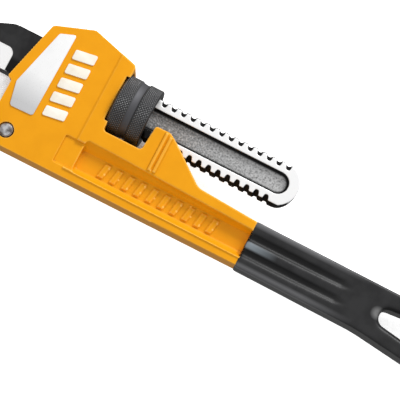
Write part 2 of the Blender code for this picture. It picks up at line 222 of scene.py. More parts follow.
def plate(name: str, outline: Sequence[Flat], low: float, high: float) -> bpy.types.Object:
    """A flat outline given thickness from z = low to z = high."""
    return swept(name, [[(x, y, z) for x, y in outline] for z in (low, high)])


def box(name: str, low: Sequence[float], high: Sequence[float]) -> bpy.types.Object:
    """A block between two opposite corners."""
    outline = [(low[0], low[1]), (high[0], low[1]), (high[0], high[1]), (low[0], high[1])]
    return plate(name, outline, low[2], high[2])


def turned(name: str, loop: Sequence[Flat], steps: int) -> bpy.types.Object:
    """A ring turned about the shank's axis.

    Args:
        name: Name of the piece.
        loop: Closed profile of (x, radius).
        steps: Steps in a full turn.

    Returns:
        The closed ring.
    """
    deselect()
    bpy.ops.mesh.primitive_circle_add(vertices=len(loop), radius=MM, fill_type="NOTHING")
    thing = bpy.context.object
    thing.name = name
    for vertex, (x, r) in zip(thing.data.vertices, loop):
        vertex.co = ORIGIN + Vector((x, r, 0)) * MM
    bpy.ops.object.mode_set(mode="EDIT")
    bpy.ops.mesh.select_all(action="SELECT")
    bpy.ops.mesh.spin(steps=steps, angle=2 * math.pi, center=ORIGIN, axis=(1, 0, 0))
    bpy.ops.mesh.select_all(action="SELECT")
    bpy.ops.mesh.remove_doubles(threshold=1e-6)
    bpy.ops.mesh.normals_make_consistent(inside=False)
    bpy.ops.object.mode_set(mode="OBJECT")
    return thing


def joined(name: str, things: Iterable[bpy.types.Object]) -> bpy.types.Object:
    """One object out of several whose bodies stay separate."""
    things = list(things)
    deselect()
    for thing in things:
        thing.select_set(True)
    bpy.context.view_layer.objects.active = things[0]
    if len(things) > 1:
        bpy.ops.object.join()
    things[0].name = name
    return things[0]


def shifted(thing: bpy.types.Object, x: float, y: float, z: float) -> bpy.types.Object:
    """A copy of a piece, with its own mesh, moved by a drawn distance."""
    twin = thing.copy()
    twin.data = thing.data.copy()
    bpy.context.scene.collection.objects.link(twin)
    for vertex in twin.data.vertices:
        vertex.co += Vector((x, y, z)) * MM
    return twin


def both_sides(name: str, outline: Sequence[Flat], low: float, high: float) -> bpy.types.Object:
    """A plate on each side of the middle plane."""
    return joined(name, [plate(name, outline, low, high), plate(name, outline, -high, -low)])


def modify(thing: bpy.types.Object, kind: str, **settings: Any) -> None:
    """Give a piece a modifier with its settings and make it part of the mesh."""
    deselect()
    thing.select_set(True)
    bpy.context.view_layer.objects.active = thing
    modifier = thing.modifiers.new(kind.lower(), kind)
    for key, value in settings.items():
        setattr(modifier, key, value)
    bpy.ops.object.modifier_apply(modifier=modifier.name)


def combine(thing: bpy.types.Object, operation: str, *tools: bpy.types.Object) -> None:
    """Cut, add or intersect tools, which are used up.

    Args:
        thing: The piece that is changed.
        operation: DIFFERENCE, UNION or INTERSECT.
        tools: The shapes that it is combined with, one after the other.
    """
    for tool in tools:
        modify(thing, "BOOLEAN", operation=operation, solver="EXACT", object=tool)
        bpy.data.objects.remove(tool, do_unlink=True)


def weathered(thing: bpy.types.Object, voxel: float, passes: int, most: int) -> None:
    """Triple all edges of a cast or forged piece the way its process leaves them.

    Args:
        thing: The piece, made of closed solids.
        voxel: Size of the surface's grid in millimetres.
        passes: Smoothing passes over that grid.
        most: Triangles to keep at most.
    """
    modify(thing, "REMESH", mode="VOXEL", voxel_size=voxel * MM, use_smooth_shade=True)
    modify(thing, "SMOOTH", factor=0.5, iterations=passes)
    count = 2 * len(thing.data.polygons)
    if count > most:
        modify(thing, "DECIMATE", decimate_type="COLLAPSE", ratio=most / count)


def softened(thing: bpy.types.Object, width: float, segments: int = 3, angle: float = 35.0) -> None:
    """Bevel a piece's sharp edges by a width in millimetres."""
    modify(
        thing,
        "BEVEL",
        width=width * MM,
        segments=segments,
        limit_method="ANGLE",
        angle_limit=math.radians(angle),
    )


def hand_over(
    thing: bpy.types.Object,
    name: str,
    material: bpy.types.Material,
    body: Body,
    stands_for: Sequence[str] = (),
    sharp: float = 40.0,
) -> bpy.types.Object:
    """Name a finished piece, dress it and hang it on its body.

    Args:
        thing: The finished piece.
        name: Its name.
        material: Its finish.
        body: The body that it moves with.
        stands_for: CAD nodes that it replaces.
        sharp: Angle in degrees above which an edge stays sharp.

    Returns:
        The same piece.
    """
    deselect()
    thing.select_set(True)
    bpy.context.view_layer.objects.active = thing
    bpy.ops.object.shade_smooth_by_angle(angle=math.radians(sharp))
    thing.name = name
    thing.data.name = name
    thing.data.materials.clear()
    thing.data.materials.append(material)
    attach(thing, body.value)
    if stands_for:
        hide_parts(*stands_for)
    LOG.info("%s: %d faces on %s", name, len(thing.data.polygons), body.value)
    return thing


# ---------------------------------------------------------------- finishes


def rgb(code: str) -> tuple[float, float, float, float]:
    """An sRGB hex colour as linear RGBA."""
    values = [int(code[i : i + 2], 16) / 255 for i in (1, 3, 5)]
    linear = [v / 12.92 if v <= 0.04045 else ((v + 0.055) / 1.055) ** 2.4 for v in values]
    return (*linear, 1.0)


def add(
    tree: Tree,
    kind: str,
    values: dict[Any, Any] | None = None,
    links: dict[Any, Socket] | None = None,
    stops: Sequence[tuple[float, str]] = (),
    **settings: Any,
) -> bpy.types.Node:
    """Add one shader node.

    Args:
        tree: The material's node tree.
        kind: The node's type name.
        values: Socket values by socket name or number.
        links: Sockets that feed it, by socket name or number.
        stops: Positions and hex colours of a colour ramp.
        settings: Properties of the node.

    Returns:
        The node.
    """
    node = tree.nodes.new(kind)
    for key, value in settings.items():
        setattr(node, key, value)
    for key, value in (values or {}).items():
        node.inputs[key].default_value = value
    for key, source in (links or {}).items():
        tree.links.new(source, node.inputs[key])
    if stops:
        ramp = node.color_ramp
        while len(ramp.elements) < len(stops):
            ramp.elements.new(0.5)
        for element, (place, code) in zip(ramp.elements, stops):
            element.position = place
            element.color = rgb(code)
    return node


@dataclass(frozen=True)
class Finish:
    """A surface with two close shades, a fine relief and a varying roughness."""

    name: str
    light: str
    dark: str
    roughness: float
    metallic: float = 0.0
    coat: float = 0.0
    coat_roughness: float = 0.1
    grain: float = 0.8
    relief: float = 0.03
    mottle: float = 9.0
    spread: float = 0.08
    stretch: tuple[float, float, float] = (1.0, 1.0, 1.0)
    specular: float = 0.5
    # Colours of a painted highlight on convex edges and of painted shade in hollows, both found from the
    # mesh's pointiness; an empty text leaves either out.
    edge: str = ""
    crevice_shade: str = ""

    def build(self) -> bpy.types.Material:
        """Make the material.

        Returns:
            The material with its nodes linked.
        """
        material = bpy.data.materials.new(self.name)
        material.use_nodes = True
        tree = material.node_tree
        shader = tree.nodes["Principled BSDF"]
        shader.inputs["Metallic"].default_value = self.metallic
        shader.inputs["Coat Weight"].default_value = self.coat
        shader.inputs["Coat Roughness"].default_value = self.coat_roughness
        shader.inputs["Specular IOR Level"].default_value = self.specular
        shader.inputs["Emission Color"].default_value = rgb(self.light)
        where = add(tree, "ShaderNodeTexCoord").outputs["Object"]
        drawn = add(tree, "ShaderNodeVectorMath", {1: ORIGIN}, {0: where}, operation="SUBTRACT").outputs[0]
        drawn = add(tree, "ShaderNodeVectorMath", {"Scale": 1 / MM}, {0: drawn}, operation="SCALE").outputs[0]
        grained = add(tree, "ShaderNodeMapping", {"Scale": self.stretch}, {"Vector": drawn}).outputs[0]
        grain = add(
            tree,
            "ShaderNodeTexNoise",
            {"Scale": 1 / self.grain, "Detail": 4.0, "Roughness": 0.6},
            {"Vector": grained},
        ).outputs[0]
        mottle = add(
            tree, "ShaderNodeTexNoise", {"Scale": 1 / self.mottle, "Detail": 3.0}, {"Vector": drawn}
        ).outputs[0]
        colour = add(
            tree,
            "ShaderNodeValToRGB",
            links={0: mottle},
            stops=((0.35, self.dark), (0.62, self.light)),
        ).outputs[0]
        bend = add(tree, "ShaderNodeNewGeometry").outputs["Pointiness"]
        # Painted shade in hollows and a painted highlight on convex edges, by the mesh's pointiness.
        if self.crevice_shade:
            colour = blended(tree, ease(tree, bend, 0.49, 0.42), colour, self.crevice_shade)
        if self.edge:
            colour = blended(tree, ease(tree, bend, 0.51, 0.58), colour, self.edge)
        rough = add(
            tree,
            "ShaderNodeMapRange",
            {"To Min": self.roughness - self.spread, "To Max": self.roughness + self.spread},
            {"Value": grain},
        ).outputs[0]
        bump = add(
            tree,
            "ShaderNodeBump",
            {"Strength": 1.0, "Distance": self.relief * MM},
            {"Height": grain},
        ).outputs[0]
        colour, rough = self.marked(tree, drawn, colour, rough)
        tree.links.new(colour, shader.inputs["Base Color"])
        tree.links.new(rough, shader.inputs["Roughness"])
        tree.links.new(bump, shader.inputs["Normal"])
        return material

    def marked(self, tree: Tree, drawn: Socket, colour: Socket, rough: Socket) -> tuple[Socket, Socket]:
        """Add what changes from place to place, which a plain finish has none of."""
        return colour, rough


def ease(tree: Tree, value: Socket, low: float, high: float) -> Socket:
    """A factor that climbs from 0 at low to 1 at high."""
    node = add(tree, "ShaderNodeMapRange", {"From Min": low, "From Max": high}, {"Value": value}, clamp=True)
    return node.outputs[0]


def split(tree: Tree, drawn: Socket) -> tuple[Socket, Socket, Socket]:
    """A drawn place's x, y and z."""
    apart = add(tree, "ShaderNodeSeparateXYZ", links={0: drawn}).outputs
    return apart[0], apart[1], apart[2]


def distance(tree: Tree, first: Socket, second: Socket) -> Socket:
    """Distance from two offsets at a right angle."""
    both = add(tree, "ShaderNodeCombineXYZ", links={0: first, 1: second}).outputs[0]
    return add(tree, "ShaderNodeVectorMath", links={0: both}, operation="LENGTH").outputs["Value"]


def times(tree: Tree, first: Socket, second: Socket) -> Socket:
    """The product of two factors."""
    return add(tree, "ShaderNodeMath", links={0: first, 1: second}, operation="MULTIPLY").outputs[0]


def larger(tree: Tree, first: Socket, second: Socket) -> Socket:
    """The larger of two factors."""
    return add(tree, "ShaderNodeMath", links={0: first, 1: second}, operation="MAXIMUM").outputs[0]


def size_of(tree: Tree, value: Socket) -> Socket:
    """A value without its sign."""
    return add(tree, "ShaderNodeMath", links={0: value}, operation="ABSOLUTE").outputs[0]


def blended(tree: Tree, factor: Socket, base: Socket, code: str) -> Socket:
    """A colour turned towards another by a factor."""
    node = add(tree, "ShaderNodeMix", {7: rgb(code)}, {0: factor, 6: base}, data_type="RGBA")
    return node.outputs[2]


def raised(tree: Tree, factor: Socket, base: Socket, level: float) -> Socket:
    """A number turned towards another by a factor."""
    node = add(tree, "ShaderNodeMix", {3: level}, {0: factor, 2: base}, data_type="FLOAT")
    return node.outputs[0]


@dataclass(frozen=True)
class ForgedAndGround(Finish):
    """Black-oxide forging whose shank rims and milled jaw side are ground bright, with painted shade on the
    shank's lower edge and a painted shadow behind the nut.
    """

    bright: str = "#FFFFFF"
    floor: str = "#868686"
    floor_end: str = "#B8B8B8"
    speck_light: str = "#CCCCCC"
    speck_dark: str = "#666666"
    # Dark oxide of the thread and the recess walls, also the colour of the painted shade on the shank's lower
    # side.
    oxide_and_shade: str = "#141414"
    tip: float = 101.2

    def marked(self, tree: Tree, drawn: Socket, colour: Socket, rough: Socket) -> tuple[Socket, Socket]:
        """Bright ground levels, a rough grey recess, dark oxide in the thread, and painted shade along the
        shank's lower edge and behind the nut.
        """
        x, y, z = split(tree, drawn)
        tall, wide = size_of(tree, z), size_of(tree, y)
        shank = ease(tree, x, 12.0, 14.0)
        flats = times(tree, ease(tree, tall, 6.4, 6.7), ease(tree, tall, 7.3, 7.15))
        biting = times(tree, ease(tree, x, -90.4, -89.9), ease(tree, x, -86.8, -87.2))
        biting = times(tree, biting, ease(tree, y, -18, -20))
        milled = times(tree, ease(tree, x, -62.7, -63.3), larger(tree, flats, biting))
        # Painted shadow: the shank's lower rim just behind the nut is painted dark, where the housing's notch
        # shades it.
        shaded = times(tree, ease(tree, x, 30.0, 25.0), ease(tree, y, -4.0, -6.5))
        colour = blended(tree, shaded, colour, self.oxide_and_shade)
        open_part = add(tree, "ShaderNodeMath", {0: 1.0}, {1: shaded}, operation="SUBTRACT").outputs[0]
        rims = times(tree, shank, open_part)
        bright = larger(tree, rims, milled)
        colour = blended(tree, bright, colour, self.bright)
        rough = raised(tree, bright, rough, 0.3)
        low = times(tree, shank, ease(tree, tall, 5.95, 5.7))
        past = add(tree, "ShaderNodeMath", {1: self.tip}, {0: x}, operation="SUBTRACT").outputs[0]
        past = add(tree, "ShaderNodeMath", {1: 0.0}, {0: past}, operation="MAXIMUM").outputs[0]
        middle = distance(tree, past, y)
        inner = times(tree, low, ease(tree, middle, 7.4, 7.0))
        colour = blended(tree, inner, colour, self.oxide_and_shade)
        deep = times(tree, times(tree, inner, ease(tree, tall, 3.6, 3.2)), ease(tree, middle, 5.3, 4.3))
        far = add(
            tree,
            "ShaderNodeValToRGB",
            links={0: ease(tree, x, 25.0, 100.0)},
            stops=((0.0, self.floor), (1.0, self.floor_end)),
        ).outputs[0]
        speck = add(tree, "ShaderNodeTexNoise", {"Scale": 1.0, "Detail": 3.0}, {"Vector": drawn}).outputs[0]
        far = blended(tree, ease(tree, speck, 0.5, 0.75), far, self.speck_light)
        far = blended(tree, ease(tree, speck, 0.5, 0.25), far, self.speck_dark)
        colour = add(tree, "ShaderNodeMix", links={0: deep, 6: colour, 7: far}, data_type="RGBA").outputs[2]
        rough = raised(tree, inner, rough, 0.55)
        inside = times(tree, ease(tree, distance(tree, y, z), 12.5, 12.2), ease(tree, tall, 5.93, 5.8))
        # Painted shade: the shank's lower threaded edge is painted dark all over, while the upper edge is
        # dark only in its grooves and the middle of its crests.
        lower_side_shade = times(tree, ease(tree, tall, 5.9, 5.7), ease(tree, y, 0.0, -1.0))
        side = larger(tree, larger(tree, inside, ease(tree, tall, 5.0, 4.7)), lower_side_shade)
        oxide_and_shade = times(tree, times(tree, shank, ease(tree, wide, 7.4, 7.8)), side)
        colour = blended(tree, oxide_and_shade, colour, self.oxide_and_shade)
        return colour, raised(tree, oxide_and_shade, rough, 0.75)


@dataclass(frozen=True)
class KnurledOxide(Finish):
    """Black-oxide steel whose knurl is worn lighter at its points."""

    crest: str = "#767676"
    waist: str = "#58585B"
    top: float = 17.7
    depth: float = 0.45

    def marked(self, tree: Tree, drawn: Socket, colour: Socket, rough: Socket) -> tuple[Socket, Socket]:
        """Lighter points on the knurl, by the distance from the nut's axis."""
        x, y, z = split(tree, drawn)
        reach = distance(tree, y, z)
        worn = ease(tree, reach, self.top - self.depth * 0.6, self.top)
        colour = blended(tree, worn, colour, self.crest)
        smooth = times(tree, ease(tree, x, 8.3, 8.7), ease(tree, x, 12.9, 12.4))
        return blended(tree, smooth, colour, self.waist), raised(tree, smooth, rough, 0.62)


@dataclass(frozen=True)
class GroundLand(Finish):
    """Ground steel face with a painted reflection that turns it grey towards its lower end."""

    # Grey of the painted reflection at the face's lower end.
    painted_reflection_grey: str = "#CFCFD0"
    upper: float = -8.0
    lower: float = -26.0

    def marked(self, tree: Tree, drawn: Socket, colour: Socket, rough: Socket) -> tuple[Socket, Socket]:
        """A painted reflection: a soft passage from bright to grey along the face."""
        fade = ease(tree, split(tree, drawn)[1], self.upper, self.lower)
        return blended(tree, fade, colour, self.painted_reflection_grey), rough


@dataclass(frozen=True)
class DippedVinyl(Finish):
    """Vinyl with painted shade in its flutes and painted highlights along its edges towards its front, at its
    start and by its slot.
    """

    # Colours of painted shade in the flutes and of painted highlights at the start, along the edges and
    # before the slot.
    flute: str = "#0B0B0C"
    start_highlight: str = "#7A8288"
    border_highlight: str = "#5C5C5E"
    slot_highlight: str = "#727272"

    def marked(self, tree: Tree, drawn: Socket, colour: Socket, rough: Socket) -> tuple[Socket, Socket]:
        """Painted highlights along the edges, at the start between the flutes and before the slot, and
        painted shade in the flutes.
        """
        x, y, z = split(tree, drawn)
        tall = size_of(tree, z)
        off = size_of(tree, add(tree, "ShaderNodeMath", {1: 39.8}, {0: y}, operation="ADD").outputs[0])
        front = ease(tree, x, 172.0, 140.0)
        # Painted highlight along the top and bottom edges, fading out further along the grip.
        border_highlight = times(tree, times(tree, ease(tree, off, 10.3, 12.0), front), ease(tree, tall, 6.0, 9.0))
        colour = blended(tree, border_highlight, colour, self.border_highlight)
        # Painted shade in the flutes.
        flute_shade = times(tree, times(tree, ease(tree, tall, 12.9, 12.2), ease(tree, off, 9.8, 9.0)), front)
        colour = blended(tree, flute_shade, colour, self.flute)
        # Painted highlight at the grip's start, between the flutes.
        pale = times(tree, ease(tree, x, 120.0, 104.0), ease(tree, off, 2.6, 1.2))
        pale = times(tree, pale, ease(tree, tall, 12.2, 12.7))
        colour = blended(tree, pale, colour, self.start_highlight)
        # Painted highlight on the face just before the slot's near end.
        beyond = add(tree, "ShaderNodeMath", {1: -182.2}, {0: x}, operation="ADD").outputs[0]
        aside = add(tree, "ShaderNodeMath", {1: 41.0}, {0: y}, operation="ADD").outputs[0]
        spot = ease(tree, distance(tree, beyond, aside), 4.2, 1.5)
        spot = times(tree, spot, ease(tree, tall, 10.0, 12.5))
        return blended(tree, spot, colour, self.slot_highlight), rough


@dataclass(frozen=True)
class Finishes:
    """Every finish of the wrench, built once."""

    enamel: bpy.types.Material
    pale: bpy.types.Material
    land: bpy.types.Material
    vinyl: bpy.types.Material
    forging: bpy.types.Material
    oxide: bpy.types.Material
    steel: bpy.types.Material
    pin: bpy.types.Material
    spring: bpy.types.Material

    @classmethod
    def make(cls) -> "Finishes":
        """Build all the finishes of the wrench."""
        # Stoving enamel over a sand casting: saturated and even, with a painted highlight on edges and
        # painted shade in hollows
        enamel = Finish(
            "cast_iron_stoving_enamel",
            "#EEA00F",
            "#EA9C0D",
            0.42,
            grain=1.1,
            relief=0.04,
            specular=0.15,
            edge="#FFC65F",
            crevice_shade="#9A5B02",
        )
        # Filled-in enamel on raised areas: flatter and cream white
        pale = Finish("filled_cream_enamel", "#FBF6EA", "#F2E9D8", 0.4, grain=0.9, relief=0.02, specular=0.3)
        # Surface-ground steel: bright, with fine lines across the face and a painted reflection greying its
        # lower end
        land = GroundLand(
            "ground_land_steel",
            "#FFFFFF",
            "#FBFBFB",
            0.3,
            metallic=0.4,
            grain=0.5,
            relief=0.01,
            stretch=(3.0, 0.3, 1.0),
        )
        # Dipped vinyl: soft black with a low sheen and a faint pebble, painted highlights on its edges and
        # painted shade in its hollows
        vinyl = DippedVinyl(
            "dipped_black_vinyl",
            "#2B2B2C",
            "#222223",
            0.42,
            grain=0.7,
            relief=0.03,
            specular=0.25,
            edge="#303032",
            crevice_shade="#101010",
        )
        # Drop-forged alloy steel, blackened, then ground on the flats
        forging = ForgedAndGround(
            "blackened_forged_steel",
            "#343435",
            "#272728",
            0.42,
            metallic=0.5,
            grain=0.9,
            relief=0.05,
            specular=0.25,
        )
        # Knurled steel in black oxide
        oxide = KnurledOxide(
            "black_oxide_knurled_steel", "#444445", "#38383A", 0.45, metallic=0.7, relief=0.01
        )
        # Hardened and ground tool steel
        steel = Finish(
            "ground_tool_steel",
            "#FFFFFF",
            "#F4F4F4",
            0.28,
            metallic=0.5,
            grain=0.4,
            relief=0.01,
            stretch=(0.4, 3.0, 1.0),
        )
        # Turned steel of the pin's end, with painted reflections as large light and dark blotches
        pin = Finish(
            "pin_steel_painted_reflection", "#C9C9CC", "#6A6462", 0.3, metallic=0.6, grain=0.4, relief=0.02, mottle=3.2
        )
        # Tempered spring steel, blued grey
        spring = Finish(
            "tempered_spring_steel", "#8D8E93", "#7A7B82", 0.35, metallic=1.0, grain=0.5, relief=0.01
        )
        every = (enamel, pale, land, vinyl, forging, oxide, steel, pin, spring)
        return cls(*(finish.build() for finish in every))


# ---------------------------------------------------------------- pieces


@dataclass
class Housing:
    """Housing and I-beam handle in one casting, with its ground land and its raised bars.

    Heights such as rim, head, land, pad and web are measured from the middle plane. The channel's steps are
    its lower wall, its upper wall at the front and its upper wall at the back, from the web to the rim.
    """

    rim: float = 12.8
    head: float = 12.0
    land: float = 12.6
    pad: float = 11.0
    web: float = 6.8
    mark: float = 0.7
    web_mark: float = 1.0
    grip_start: float = 101.6
    stub: float = 6.0
    heel_back: float = -57.2
    window: Triple = (-16.2, 15.7, 8.1)
    pin_at: Flat = (-46.5, -43.8)
    nut_room: float = 18.6
    bar_pitch: float = 8.9
    channel_front: float = -3.8
    channel_steps: tuple[Triple, ...] = ((-44.6, -34.0, -33.6), (-46.4, -32.6, -33.0), (-48.4, -27.7, -31.0))
    fillet: float = 1.6
    ribs: tuple[Flat, Flat] = ((33.4, -4.6), (36.4, -5.9))
    rib_foot: float = -28.0
    rib_width: float = 1.7
    rib_height: float = 1.3
    marks: int = 10
    mark_first: float = 9.8
    mark_pitch: float = 7.5
    pin_hole: float = 4.5
    pockets: tuple[Triple, Triple] = ((-28.0, 4.6, -26.6), (-47.5, 1.9, -25.0))

    def outline(self) -> list[Flat]:
        """Side view of the housing and of the handle as far as the grip."""
        end = self.grip_start - 0.6
        return rounded(
            [
                (self.heel_back, -51.9, 2.0),
                (-53.5, -53.3, 3.0),
                (end, -52.8, 0),
                (end, -26.0, 0),
                (63.3, -23.9, 8.0),
                (41.5, -7.3, 6.0),
                (35.7, -3.7, 3.0),
                (26.6, -3.8, 1.5),
                (25.3, -19.5, 2.0),
                (1.6, -19.5, 2.0),
                (1.4, 21.4, 2.5),
                (-28.1, 29.5, 3.5),
                (-50.8, 21.1, 2.5),
                (-60.2, -16.4, 1.5),
                (self.heel_back, -17.1, 0),
            ]
        )

    def channel(self) -> bpy.types.Object:
        """The I-beam's channel on both sides, whose upper wall slopes."""
        end, front = self.grip_start - 0.7, self.channel_front
        levels = []
        for low, front_high, back_high in self.channel_steps:
            corners = [(front, low, 2.0), (end, low, 0), (end, back_high, 0), (front, front_high, 2.0)]
            levels.append(rounded(corners, 22.5))
        halves = []
        for side in (1, -1):
            heights = (side * self.web, side * (self.web + self.fillet), side * (self.rim + 0.5))
            rings = [[(x, y, z) for x, y in level] for level, z in zip(levels, heights)]
            halves.append(swept("channel", rings))
        return joined("channel", halves)

    def nut_space(self) -> bpy.types.Object:
        """The round room that the nut turns in, with its flat front seat."""
        rings = [[(x, a, b) for a, b in arc((0, 0), self.nut_room, 0, 354, 59)] for x in (-0.8, 23.0)]
        return swept("nut_space", rings)

    def body(self) -> bpy.types.Object:
        """The casting, with every recess, step and opening."""
        casting = plate("casting", self.outline(), -self.rim, self.rim)
        deep = self.rim + 5.0
        stub = box("stub", (self.grip_start - 0.9, -50.6, -9.6), (self.grip_start + self.stub, -28.6, 9.6))
        combine(casting, "UNION", stub)
        head_step = [(-70.0, -60.0), (-8.7, -60.0), (-8.7, 40.0), (-70.0, 40.0)]
        flange = [(-8.9, -60.0), (110.0, -60.0), (110.0, -48.6), (-8.9, -48.6)]
        pad = rounded([(-15.6, -47.4, 1.0), (-3.0, -47.4, 0), (-3.0, -30.9, 0), (-15.6, -30.9, 1.0)])
        combine(casting, "DIFFERENCE", both_sides("head_step", head_step, self.head, deep))
        combine(casting, "DIFFERENCE", both_sides("flange", flange, self.head, deep))
        combine(casting, "DIFFERENCE", both_sides("pad", pad, self.pad, deep), self.channel())
        for x, top in self.ribs:
            right, foot = x + self.rib_width, self.rib_foot
            rib = [(x, foot), (right, foot), (right, top), (x, top)]
            combine(casting, "UNION", both_sides("rib", rib, self.rim - 1.0, self.rim + self.rib_height))
        marks = []
        for i in range(self.marks):
            x = self.mark_first + self.mark_pitch * i
            bar = [(x, -43.3), (x + 3.2, -43.3), (x + 4.8, -35.0), (x + 1.6, -35.0)]
            marks.append(both_sides("mark", bar, self.web - 1.0, self.web + self.web_mark))
        combine(casting, "UNION", joined("marks", marks))
        low, high, half = self.window
        combine(casting, "DIFFERENCE", box("window", (-70, low, -half), (4, high, half)))
        combine(casting, "DIFFERENCE", box("fork", (22, -15.0, -6.9), (66, 4, 6.9)), self.nut_space())
        combine(casting, "DIFFERENCE", box("leaf_floor", (-55.5, -19.4, -5.2), (-10.5, low + 1, 5.2)))
        combine(casting, "DIFFERENCE", box("tongue_slot", (-66, -50.8, -5.3), (-40.6, -36.7, 5.3)))
        hole = arc(self.pin_at, self.pin_hole, 0, 352.5, 47)
        combine(casting, "DIFFERENCE", plate("pin_hole", hole, -deep, deep))
        return casting

    def small_pockets(self, casting: bpy.types.Object) -> None:
        """The pocket of the coil spring and the rivet's hole."""
        for x, radius, low in self.pockets:
            rings = []
            for y in (low, -18.0):
                rings.append([(a, y, b) for a, b in arc((x, 0), radius, 0, 345, 23)])
            combine(casting, "DIFFERENCE", swept("pocket", rings))

    def land_face(self, side: int) -> bpy.types.Object:
        """The thin ground face on one side of the head."""
        lower = [(-51.2, -30.6, 2.0), (-37.0, -30.2, 1.6)]
        upper = [(-36.2, 21.8, 1.2), (-45.3, 18.3, 1.6), (-54.2, -16.7, 1.6)]
        outline = rounded(lower + upper)
        low, high = sorted((side * (self.head + 0.05), side * self.land))
        face = plate("land", outline, low, high)
        softened(face, 0.25)
        return face

    def head_bars(self, side: int) -> bpy.types.Object:
        """The row of raised cream bars on one side of the head."""
        low, high = sorted((side * (self.head + 0.05), side * (self.head + self.mark)))
        bars = []
        for i in range(5):
            y = -27.2 + self.bar_pitch * i
            left, right = -32.9, -20.0
            corners = [(left, y, 1.0), (right, y + 2.0, 1.0), (right, y + 8.0, 1.0), (left, y + 6.0, 1.0)]
            outline = rounded(corners)
            bars.append(plate("bar", outline, low, high))
        row = joined("bars", bars)
        softened(row, 0.25)
        return row

    def build(self, finishes: Finishes) -> None:
        """Model and dress the casting, its lands and its bars."""
        casting = self.body()
        self.small_pockets(casting)
        weathered(casting, 0.45, 3, 190_000)
        name = "enamelled_casting"
        hand_over(casting, name, finishes.enamel, Body.HANDLE, ["handle_casting"])
        for side, word in ((1, "upper"), (-1, "lower")):
            hand_over(self.land_face(side), f"{word}_ground_land", finishes.land, Body.HANDLE)
            hand_over(self.head_bars(side), f"{word}_head_bars", finishes.pale, Body.HANDLE)


@dataclass
class Grip:
    """Dipped grip with flutes and a hanging slot."""

    start: float = 100.4
    half: float = 13.0
    edge: float = 4.2
    small: Triple = (189.0, -41.0, 5.0)
    large: Triple = (222.0, -42.0, 8.8)
    flutes: tuple[float, float] = (-35.2, -44.6)

    def outline(self) -> list[Flat]:
        """Side view of the grip."""
        return rounded(
            [
                (self.start, -53.6, 1.0),
                (176.0, -54.3, 60.0),
                (216.0, -59.0, 16.0),
                (244.0, -55.0, 13.0),
                (244.0, -31.0, 13.0),
                (224.0, -26.2, 14.0),
                (self.start, -25.7, 1.0),
            ],
            8.0,
        )

    def flute(self, y: float, side: int) -> bpy.types.Object:
        """A shallow round-bottomed groove along the grip, as a cutter."""
        rings = []
        for x, grow in ((99.0, 1.0), (130.0, 1.0), (158.0, 0.9), (168.0, 0.35)):
            ring = arc((y, side * (self.half + 1.6)), 3.3 * grow, 0, 340, 17)
            rings.append([(x, a, b) for a, b in ring])
        return swept("flute", rings)

    def build(self, finishes: Finishes) -> None:
        """Model and dress the grip."""
        grip = plate("grip", self.outline(), -self.half, self.half)
        softened(grip, self.edge, 5, 60.0)
        mouth = box("mouth", (self.start - 2, -50.9, -9.9), (self.start + 7.6, -28.3, 9.9))
        rings = []
        for z, extra in ((-14.0, 3.4), (-12.0, 1.0), (-9.5, 0.0), (9.5, 0.0), (12.0, 1.0), (14.0, 3.4)):
            rings.append([(x, y, z) for x, y in taper_slot(self.small, self.large, extra)])
        combine(grip, "DIFFERENCE", mouth, swept("slot", rings))
        for y in self.flutes:
            combine(grip, "DIFFERENCE", self.flute(y, 1), self.flute(y, -1))
        weathered(grip, 0.7, 8, 150_000)
        hand_over(grip, "dipped_grip", finishes.vinyl, Body.HANDLE, ["grip_sleeve"])


